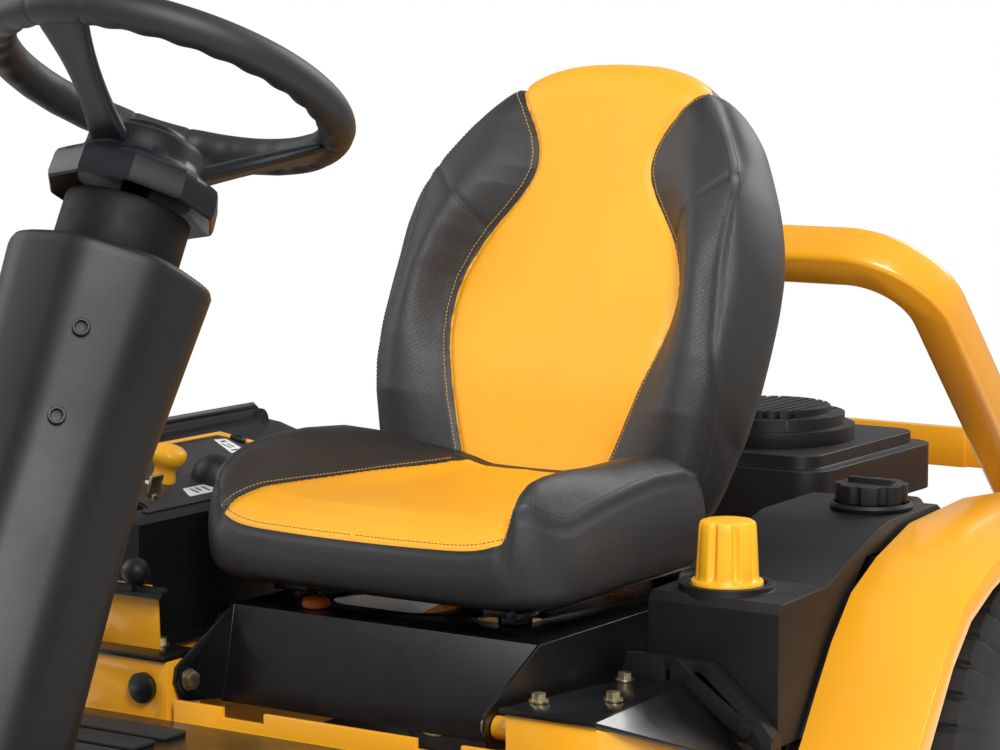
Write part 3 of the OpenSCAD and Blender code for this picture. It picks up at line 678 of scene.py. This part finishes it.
def stitches(name, pad, routes, coat, pitch=5.2, length=3.9, thick=0.55):
    """One mesh of short spindles that lie on a pad along routes of points in the frame's metres."""
    tree_of = BVHTree.FromObject(pad, bpy.context.evaluated_depsgraph_get())
    verts, faces = [], []
    for route in routes:
        hits = [tree_of.find_nearest(Vector(p)) for p in route]
        line = np.array([tuple(h[0]) for h in hits])
        walls = np.array([tuple(h[1]) for h in hits])
        run = np.concatenate([[0], np.cumsum(np.linalg.norm(np.diff(line, axis=0), axis=1))])
        for begin in np.arange(0.002, run[-1] - length / 1000, pitch / 1000):
            ends = [np.array([np.interp(begin + d * length / 1000, run, line[:, k]) for k in range(3)])
                    for d in (0, 1)]
            wall = np.array([np.interp(begin, run, walls[:, k]) for k in range(3)])
            wall /= np.linalg.norm(wall) + 1e-9
            along = (ends[1] - ends[0]) / (np.linalg.norm(ends[1] - ends[0]) + 1e-9)
            cross = np.cross(wall, along)
            base = len(verts)
            for share, fat, lift in ((0, 0.35, -0.3), (0.2, 0.9, 0.25), (0.5, 1, 0.45), (0.8, 0.9, 0.25),
                                     (1, 0.35, -0.3)):
                centre = ends[0] + (ends[1] - ends[0]) * share + wall * lift * thick / 1000
                for k in range(6):
                    turn = k * math.pi / 3
                    out = cross * math.cos(turn) + wall * math.sin(turn)
                    verts.append(tuple(centre + out * thick * fat / 1000))
            for ring in range(4):
                for k in range(6):
                    a, b = base + ring * 6 + k, base + ring * 6 + (k + 1) % 6
                    faces.append((a, b, b + 6, a + 6))
            faces.append(tuple(base + k for k in reversed(range(6))))
            faces.append(tuple(base + 24 + k for k in range(6)))
    sewn = closed_mesh(name, verts, faces, coat)
    finish(sewn, "seat", 60)


gold_thread, black_thread = thread("gold_nylon_thread", "#C79A2E"), thread("black_nylon_thread", "#131315")
rows = np.arange(2, 520, 3.0)
panel_routes, edge_routes, cushion_routes, band_routes = [], [], [], []
for side in (-1, 1):
    wide = table(BACK_PANEL, rows) + 4.5
    panel_routes.append(on_back(side * wide, rows, back_front(wide, rows) + 3))
    low = rows[rows < 455]
    for gap in (-4.5, 4.0):
        wide = table(BACK_EDGE, low) + gap
        edge_routes.append(on_back(side * wide, low, back_front(wide, low) + (3 if gap < 0 else -6)))
    slant = np.linspace(150, 214, 24)
    edge_routes.append(on_back(side * slant, 304 + (slant - 140) * 1.016,
                               back_front(slant, 304 + (slant - 140) * 1.016)))
    deep = np.arange(-662, -330, 3.0)
    wide = table(CUSHION_PANEL, deep - CUSHION_FRONT) + 4.5
    cushion_routes.append(on_cushion(side * wide, deep, cushion_top(wide, deep) + 6))
stitches("back_panel_stitches", seat_back, panel_routes, gold_thread)
stitches("back_edge_stitches", seat_back, edge_routes, black_thread)
stitches("cushion_panel_stitches", seat_cushion, cushion_routes, gold_thread)
ring_inside = cushion_outline - away * 4.0
reach_back = int(np.argmax(cushion_outline[:, 1] > -300))
for line in (ring_inside[:reach_back], ring_inside[::-1][:reach_back]):
    band_routes.append(on_cushion(line[:, 0], line[:, 1], cushion_top(line[:, 0], line[:, 1]) + 4))
stitches("cushion_edge_stitches", seat_cushion, band_routes, black_thread)


# Steering wheel: a moulded core in a soft charcoal grip with finger waves, three broad spokes and a ten-sided
# hub skirt, pressed on the splined shaft. Its own zero is on the column's slope, z along the shaft.
SLOPE = math.radians(27)
shaft_foot = zero + np.array([0, -0.988, 1.079])


def on_column(x, y, z):
    """Column coordinates in mm to the frame's metres."""
    x, y, z = np.broadcast_arrays(np.asarray(x, float), y, z)
    return shaft_foot + np.stack([x, y * math.cos(SLOPE) + z * math.sin(SLOPE),
                                  z * math.cos(SLOPE) - y * math.sin(SLOPE)], axis=-1) / 1000


def grid_skin(name, rows, coat, wrap=True, closed=False):
    """A skin through rows of points in metres. wrap joins each row's ends, closed the last row
    to the first."""
    tall, wide = len(rows), len(rows[0])
    faces = []
    for r in range(tall if closed else tall - 1):
        for i in range(wide if wrap else wide - 1):
            j, n = (i + 1) % wide, (r + 1) % tall
            faces.append((r * wide + i, r * wide + j, n * wide + j, n * wide + i))
    if wrap and not closed:
        faces += [tuple(reversed(range(wide))), tuple((tall - 1) * wide + k for k in range(wide))]
    return closed_mesh(name, [tuple(v) for v in np.concatenate(rows)], faces, coat)


grip_coat, tree, shader = new_finish("soft_grip_vinyl", "#15171A", 0.55)
cloud = texture(tree, "TexNoise", {"Scale": 9.0, "Detail": 4.0})
mottle(tree, shader, cloud, "#121417", "#1D2024")
grain = texture(tree, "TexVoronoi", {"Scale": 900.0})
relief(tree, shader, grain, "Distance", 0.3, 0.0003)
spoke_coat, tree, shader = new_finish("moulded_spoke_plastic", "#0F1216", 0.46, Specular_IOR_Level=0.35)
wear = texture(tree, "TexNoise", {"Scale": 18.0, "Detail": 5.0})
roughen(tree, shader, wear, 0.3, 0.46)
grain = texture(tree, "TexNoise", {"Scale": 1100.0, "Detail": 2.0})
relief(tree, shader, grain, "Fac", 0.15, 0.0003)

round_turn = np.linspace(0, 2 * math.pi, 40, endpoint=False)
rim_rows = []
for turn in np.linspace(0, 2 * math.pi, 480, endpoint=False):
    nearest = min(abs((math.degrees(turn) - spot + 180) % 360 - 180) for spot in (50, 130, 270))
    held = min(max((nearest - 11) / 4, 0), 1)
    facing = np.clip(np.cos(round_turn - math.radians(215)), 0, 1)
    thick = 19.2 + held * (0.6 - 2.2 * facing * (0.5 - 0.5 * math.cos(turn * 30)))
    band = 1.2 * math.exp(-((nearest - 10) / 0.7) ** 2)
    thick = thick - band
    reach = 181 + thick * np.cos(round_turn)
    rim_rows.append(on_column(reach * math.cos(turn), reach * math.sin(turn), thick * np.sin(round_turn)))
steering_rim = grid_skin("steering_grip", rim_rows, grip_coat, closed=True)
finish(steering_rim, "steering", 60)
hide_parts("steering_rim")

turns = np.linspace(0, 2 * math.pi, 160, endpoint=False)
flat = np.cos(math.radians(18)) / np.cos((turns + math.radians(18)) % math.radians(36) - math.radians(18))
hub_rows = []
for reach, height, sides in ((15.2, -120, 0), (60, -121, 0), (84, -136, 1), (88, -138, 1), (90, -136, 1),
                             (91, -131, 1), (90, -112, 1), (88, -107, 1), (84, -104, 0.9), (72, -100, 0.3),
                             (65, -94, 0), (62.5, -86, 0), (62, -76, 0), (60, -70, 0), (56, -67, 0),
                             (46, -65.5, 0), (42.5, -65, 0), (41, -63.5, 0), (40.5, -60, 0), (39, -57, 0),
                             (35, -55, 0), (24, -53.6, 0), (8, -53, 0)):
    spread = reach * (1 + sides * (flat - 1))
    hub_rows.append(on_column(spread * np.cos(turns), spread * np.sin(turns), height))
hub = grid_skin("steering_hub_moulding", hub_rows, spoke_coat)
finish(hub, "steering", 28)
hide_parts("steering_hub")
for number, heading in enumerate((50, 130, 270)):
    heading = math.radians(heading)
    arm_rows = []
    for share in np.linspace(0, 1, 30):
        reach = 44 + 134 * share
        height = -92 + 84 * share ** 1.15 + 5 * math.sin(math.pi * share)
        wide = 27 - 9 * math.sin(math.pi * min(share * 1.1, 1)) + 5 * share ** 4
        deep = 9 - 1.5 * share
        angles = np.linspace(0, 2 * math.pi, 36, endpoint=False)
        side = wide * np.sign(np.cos(angles)) * np.abs(np.cos(angles)) ** 0.75
        rise = deep * np.sign(np.sin(angles)) * np.abs(np.sin(angles)) ** 0.75 - 3.0 * (side / wide) ** 2
        tilt = math.radians(34)
        span = reach - rise * math.sin(tilt)
        arm_rows.append(on_column(span * math.cos(heading) - side * math.sin(heading),
                                  span * math.sin(heading) + side * math.cos(heading),
                                  height + rise * math.cos(tilt)))
    spoke = grid_skin("steering_spoke_%d" % (number + 1), arm_rows, spoke_coat)
    finish(spoke, "steering", 60)
    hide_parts("steering_hub")
matt_steel, tree, shader = new_finish("matt_black_steel", "#060607", 0.62, Specular_IOR_Level=0.25)
dust = texture(tree, "TexNoise", {"Scale": 60.0, "Detail": 5.0})
roughen(tree, shader, dust, 0.5, 0.75)
relief(tree, shader, dust, "Fac", 0.15, 0.0003)
shaft_turn = np.linspace(0, 2 * math.pi, 48, endpoint=False)
shaft_rows = [on_column(r * np.cos(shaft_turn), r * np.sin(shaft_turn), z)
              for r, z in ((14.1, -700), (14.9, -699.2), (14.9, -300), (14.9, -121), (14.1, -119.8))]
shaft = grid_skin("steering_shaft", shaft_rows, matt_steel)
finish(shaft, "steering", 35)
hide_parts("steering_hub")
rounded_copy("column_tube", matt_steel, 1.5)


# Column cover: one blow-moulded plastic shell, eight-sided with soft corners, with four recessed screws in
# its front.
face_turn = np.linspace(0, 2 * math.pi, 128, endpoint=False)
half_side = math.radians(22.5)
eight = np.cos(half_side) / np.cos((face_turn + half_side) % (2 * half_side) - half_side)
eight = 0.28 + 0.72 * eight
eight = sum(np.roll(eight, k) for k in range(-3, 4)) / 7
girth = [(-900, 116), (-470, 99.5), (-430, 98.6), (-390, 99.6), (-222, 111), (-214, 111.4), (-209, 109),
         (-206.5, 104), (-206, 98)]
low_y = 116 * np.sin(face_turn)
foot_z = (342.5 - 1079 + low_y * math.sin(SLOPE)) / math.cos(SLOPE)
toe_z = -(844.2 + 0.6454 * low_y) / 0.936
foot_z = np.maximum(foot_z, toe_z) + 3
cover_rows = []
for share in np.concatenate([[0.0, 0.004], np.linspace(0.02, 0.5, 14), np.linspace(0.52, 0.97, 26)]):
    z = foot_z + (-222 - foot_z) * share
    wide = table(girth, z) * eight * (0.975 if share == 0 else 1)
    cover_rows.append(on_column(wide * np.cos(face_turn), wide * np.sin(face_turn), z))
for z, wide in girth[4:]:
    cover_rows.append(on_column(wide * eight * np.cos(face_turn), wide * eight * np.sin(face_turn), z))
for z, wide in ((-206, 60), (-207, 33), (-210, 29.2), (-240, 29.2)):
    cover_rows.append(on_column(wide * np.cos(face_turn), wide * np.sin(face_turn), z))
column_cover = grid_skin("column_cover_moulding", cover_rows, black_pp)
finish(column_cover, "chassis", 50)
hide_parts("column_cover")
screw_rows_of = ((-300, 62), (-390, 60))
for side in (-1, 1):
    for along, across_mm in screw_rows_of:
        reach = float(table(girth, along)) * 0.985
        centre_x, centre_y = side * across_mm, -math.sqrt(max(reach ** 2 - across_mm ** 2, 1)) - 0.5
        lean = math.atan2(centre_x, -centre_y)
        out = np.array([math.sin(lean), -math.cos(lean)])
        sideways = np.array([math.cos(lean), math.sin(lean)])
        rows_here = []
        for r, depth in ((9, -6), (9, 0.6), (8.2, 1.4), (6.4, 1.4), (6, 0.6), (6, -2.0), (5.6, -2.3),
                         (3.4, -2.3), (3.0, -3.6)):
            ring = np.linspace(0, 2 * math.pi, 32, endpoint=False)
            spot = np.array([centre_x, centre_y]) + out * depth
            rows_here.append(on_column(spot[0] + sideways[0] * r * np.cos(ring),
                                       spot[1] + sideways[1] * r * np.cos(ring),
                                       along + r * np.sin(ring)))
        socket = grid_skin("cover_screw_%d_%d" % (side, along), rows_here, black_pp)
        finish(socket, "chassis", 40)


# Tyres: moulded rubber, block tread on the rear and ribs on the front, with fine moulding rings on the walls.
tyre_rubber, tree, shader = new_finish("tyre_rubber", "#1A1A1A", 0.72)
cloud = texture(tree, "TexNoise", {"Scale": 16.0, "Detail": 6.0})
mottle(tree, shader, cloud, "#121212", "#2B2A29")
grain = texture(tree, "TexNoise", {"Scale": 700.0, "Detail": 2.0})
relief(tree, shader, grain, "Fac", 0.3, 0.0004)


def tyre(node, shoulder, blocks, count, depth):
    """A tyre in a CAD node's place: shoulder is the corner's reach in mm, blocks its tread blocks or 0."""
    low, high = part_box(node)
    centre = [(a + b) / 2 for a, b in zip(low, high)]
    half_wide, outer = (high[0] - low[0]) * 500, (high[2] - low[2]) * 500
    bead = 106 if outer > 200 else 78
    wall = outer - bead
    section = [(0.86, bead), (0.9, bead + 1), (0.95, bead + 4), (0.97, bead + 0.12 * wall),
               (0.955, bead + 0.15 * wall), (0.985, bead + 0.25 * wall), (1.0, bead + 0.45 * wall),
               (0.985, outer - shoulder * 1.3), (0.94, outer - shoulder * 0.85),
               (0.9, outer - shoulder * 0.42), (0.85, outer - shoulder * 0.2)]
    tread = [(w, outer - 2.2 * (w / 0.8) ** 4 * shoulder / 12) for w in np.linspace(0.8, -0.8, 65)]
    inside = [(-0.8, bead), (-0.74, bead + 6), (-0.86, bead + 0.4 * wall), (-0.84, outer - shoulder * 1.1),
              (-0.6, outer - 14), (0.6, outer - 14), (0.84, outer - shoulder * 1.1),
              (0.86, bead + 0.4 * wall), (0.74, bead + 6), (0.8, bead)]
    loop = section + tread + [(-w, r) for w, r in reversed(section)] + inside
    wide = np.array([p[0] for p in loop])
    reach = np.array([p[1] for p in loop])
    on_tread = (reach > outer - shoulder * 0.9) & (np.arange(len(loop)) < len(section) * 2 + len(tread))
    ribs = (-0.52, -0.17, 0.17, 0.52)
    rows_here = []
    for step in range(count):
        turn = 2 * math.pi * step / count
        cut = np.zeros(len(loop))
        for rib in ribs:
            cut = np.maximum(cut, np.clip(1.6 - np.abs(wide - rib) / 0.026, 0, 1))
        if blocks:
            for band, (left, right) in enumerate(zip((-1,) + ribs, ribs + (1,))):
                skew = 0.35 * np.abs(wide) if band in (0, 4) else 0
                phase = (step * blocks / count + 0.5 * band + skew) % 1.0
                gap = np.clip(1.5 - np.abs(phase - 0.5) / 0.1, 0, 1)
                cut = np.maximum(cut, np.where((wide > left) & (wide <= right), gap, 0))
        r = reach - depth * cut * on_tread
        rows_here.append(np.array([centre[0], centre[1], centre[2]]) + np.stack(
            [wide * half_wide, r * math.cos(turn), r * math.sin(turn)], axis=-1) / 1000)
    made = grid_skin(node + "_moulding", rows_here, tyre_rubber, closed=True)
    finish(made, body_name(node), 32)
    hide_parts(node)


for node in ("rear_tyre_left", "rear_tyre_right"):
    tyre(node, 40, 40, 480, 7.0)
for node in ("front_tyre_left", "front_tyre_right"):
    tyre(node, 24, 0, 200, 4.0)


# Console panel: a thin pressed steel panel with a grey satin coat in a yellow edge, white plastic labels with
# plain bars as marks, a green mark, and a matt black dome knob.
TILT = math.radians(16.1)


def on_panel(u, v, w):
    """Panel coordinates in mm to the frame's metres: u runs down to the seat, v backwards, w outwards."""
    return zero + np.array([-290 + u * math.cos(TILT) + w * math.sin(TILT), v,
                            548 - u * math.sin(TILT) + w * math.cos(TILT)]) / 1000


def plate(name, corners, low, high, coat, edge=0.3):
    """A flat plate with an outline in panel coordinates, its corners and edges rounded."""
    count = len(corners)
    verts = [tuple(on_panel(u, v, w)) for w in (low, high) for u, v in corners]
    faces = [tuple(reversed(range(count))), tuple(range(count, 2 * count))]
    faces += [(k, (k + 1) % count, count + (k + 1) % count, count + k) for k in range(count)]
    made = closed_mesh(name, verts, faces, coat)
    bevel(made, edge, 2)
    finish(made, "chassis", 35)
    return made


def rounded_corners(corners, radius):
    """An outline with each corner turned into an arc."""
    out = []
    for k in range(len(corners)):
        before, here, after = (np.array(corners[(k + d) % len(corners)], float) for d in (-1, 0, 1))
        a, b = (before - here) / np.linalg.norm(before - here), (after - here) / np.linalg.norm(after - here)
        for share in np.linspace(0, 1, 7):
            out.append(tuple(here + a * radius * (1 - share) ** 2 + b * radius * share ** 2))
    return out


grey_panel, tree, shader = new_finish("grey_satin_coat", "#2A2A2D", 0.48)
cloud = texture(tree, "TexNoise", {"Scale": 8.0, "Detail": 5.0})
mottle(tree, shader, cloud, "#262629", "#303033")
peel = texture(tree, "TexNoise", {"Scale": 600.0, "Detail": 2.0})
relief(tree, shader, peel, "Fac", 0.12, 0.0003)


def label_film(name, colour):
    """Printed polyester label film."""
    made, tree, shader = new_finish(name, colour, 0.3)
    scuff = texture(tree, "TexNoise", {"Scale": 90.0, "Detail": 4.0})
    roughen(tree, shader, scuff, 0.24, 0.42)
    relief(tree, shader, scuff, "Fac", 0.08, 0.0002)
    return made


white_film = label_film("white_label_film", "#E8E9EA")
green_film = label_film("green_label_film", "#12A35A")
ink_film = label_film("black_label_ink", "#1C1C1E")
rounded_copy("console_panel", grey_panel, 0.4)
edge_half = rounded_corners([(-196, -668), (-196, -322), (-128, -288), (-128, -300), (-182, -330),
                             (-182, -668)], 6)
plate("console_yellow_edge", edge_half, -3.0, 1.6, yellow_coat)
for part, corners, radius, film in (
        ("label_far", [(-168, -357), (-164, -336), (-124, -344), (-124, -373)], 2.5, white_film),
        ("label_mid", [(-112, -412), (-112, -386), (-84, -390), (-88, -414)], 2.5, white_film),
        ("label_near", [(-60, -548), (-60, -500), (-38, -500), (-38, -560)], 2.5, white_film),
        ("label_fast", [(-100, -580), (-94, -560), (-86, -556), (-86, -582)], 2, white_film),
        ("mark_green", [(-80, -650), (-80, -628), (-68, -624), (-68, -648)], 4, green_film)):
    plate("console_" + part, rounded_corners(corners, radius), 2.2, 2.6, film,
          edge=0.1)
for number, (u0, v0, u1, v1) in enumerate((
        (-160, -354, -156, -344), (-152, -360, -136, -357), (-150, -352, -138, -349),
        (-132, -366, -129, -352), (-106, -408, -92, -405), (-106, -400, -94, -397),
        (-56, -540, -42, -536), (-56, -530, -46, -526), (-56, -518, -42, -514))):
    plate("console_mark_%d" % (number + 1), [(u0, v0), (u0, v1), (u1, v1), (u1, v0)], 2.55, 2.7, ink_film,
          edge=0.03)
ring = np.linspace(0, 2 * math.pi, 40, endpoint=False)


def turned(name, centre, profile, coat, body, slot, lift=on_panel, angle=40):
    """A turned piece on the panel: profile is (radius, height) from its foot up."""
    rows_here = []
    for r, w in profile:
        rows_here.append(np.array([lift(centre[0] + r * math.cos(a), centre[1] + r * math.sin(a),
                                        centre[2] + w) for a in ring]))
    made = grid_skin(name, rows_here, coat)
    finish(made, body, angle)
    return made


turned("console_screw", (-160, -314.5, 0),
       [(11, -2), (11, 3), (10, 4), (7, 4.6), (5, 4.6), (4.6, 3), (0.4, 3)], black_pp,
       "chassis", slot_of("console_right"))
turned("console_dome", (-66, -478, 0),
       [(30, 2), (30, 6), (29, 12), (26, 20), (21, 27), (14, 32), (7, 34), (0.4, 34.6)],
       black_pp, "chassis", slot_of("console_right"))


# Height dial and blade switch: yellow plastic mouldings. The dial has eight finger flutes and a foot ring,
# the switch is a mushroom button on a flared neck.
def fluted(name, centre, profile, flutes, depth, coat, body, lift, angle=40):
    """A turned piece with finger flutes: profile is (radius, height, share of the flute's depth)."""
    around = np.linspace(0, 2 * math.pi, 192, endpoint=False)
    wave = np.cos(around * flutes)
    rows_here = []
    for r, w, share in profile:
        reach = r - share * depth * np.clip(wave, -0.25, 1) ** 2 * (wave > 0)
        rows_here.append(np.array([lift(centre[0] + q * math.cos(a), centre[1] + q * math.sin(a),
                                        centre[2] + w)
                                   for q, a in zip(reach, around)]))
    made = grid_skin(name, rows_here, coat)
    finish(made, body, angle)
    return made


def straight(x, y, z):
    """Machine millimetres as an array in the frame's metres."""
    return np.array(at(x, y, z))


dial = fluted("height_dial_moulding", (340, -405, 0),
              [(9.4, 476, 0), (9.9, 476.6, 0), (9.9, 496.2, 0), (41, 496.4, 0), (41.8, 497.2, 0),
               (41.8, 502, 0), (41, 503, 0), (37.5, 503.4, 0), (36.6, 505, 0.3), (36.4, 510, 1),
               (35, 535, 1), (33.6, 560, 1), (33, 567, 0.9), (31.6, 570.6, 0.6), (29, 572, 0.2),
               (10, 572.4, 0)], 8, 5.5,
              yellow_pp, "height_dial", straight)
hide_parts("height_dial")
knob = turned("blade_switch_moulding", (-90.3, -550, -1.6),
              [(7.4, -28), (7.9, -27.4), (7.9, 2), (15, 2.6), (15.6, 4), (15, 8), (13.6, 14), (13.8, 20),
               (16, 25), (19.6, 29), (22.2, 34), (22.8, 39), (21.6, 43.5), (18, 46.6), (11, 48.4),
               (0.5, 49)],
              yellow_pp, "pto_knob", slot_of("pto_knob"))
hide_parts("pto_knob")


# Tank neck ring: a black moulded ring under the cap.
turned("tank_neck_ring", (383, -125, 0),
       [(31, 548), (46, 549), (50, 552), (51, 556), (49, 559.2), (46, 560), (31, 560)],
       black_pp, "chassis", slot_of("fuel_tank"), lift=straight)


# Rubber stop below the seat pan's front edge: soft orange rubber, turned.
orange_rubber, tree, shader = new_finish("orange_rubber", "#C8641A", 0.5, Subsurface_Weight=0.1)
cloud = texture(tree, "TexNoise", {"Scale": 80.0, "Detail": 4.0})
mottle(tree, shader, cloud, "#B4500F", "#D9772A")
relief(tree, shader, cloud, "Fac", 0.2, 0.0004)
turned("seat_rubber_stop", (-100, -606, 0),
       [(12, 455.1), (16, 457), (17, 461), (15, 466), (10, 469), (0.4, 469.6)], orange_rubber,
       "pan", slot_of("tank_bracket"), lift=straight)
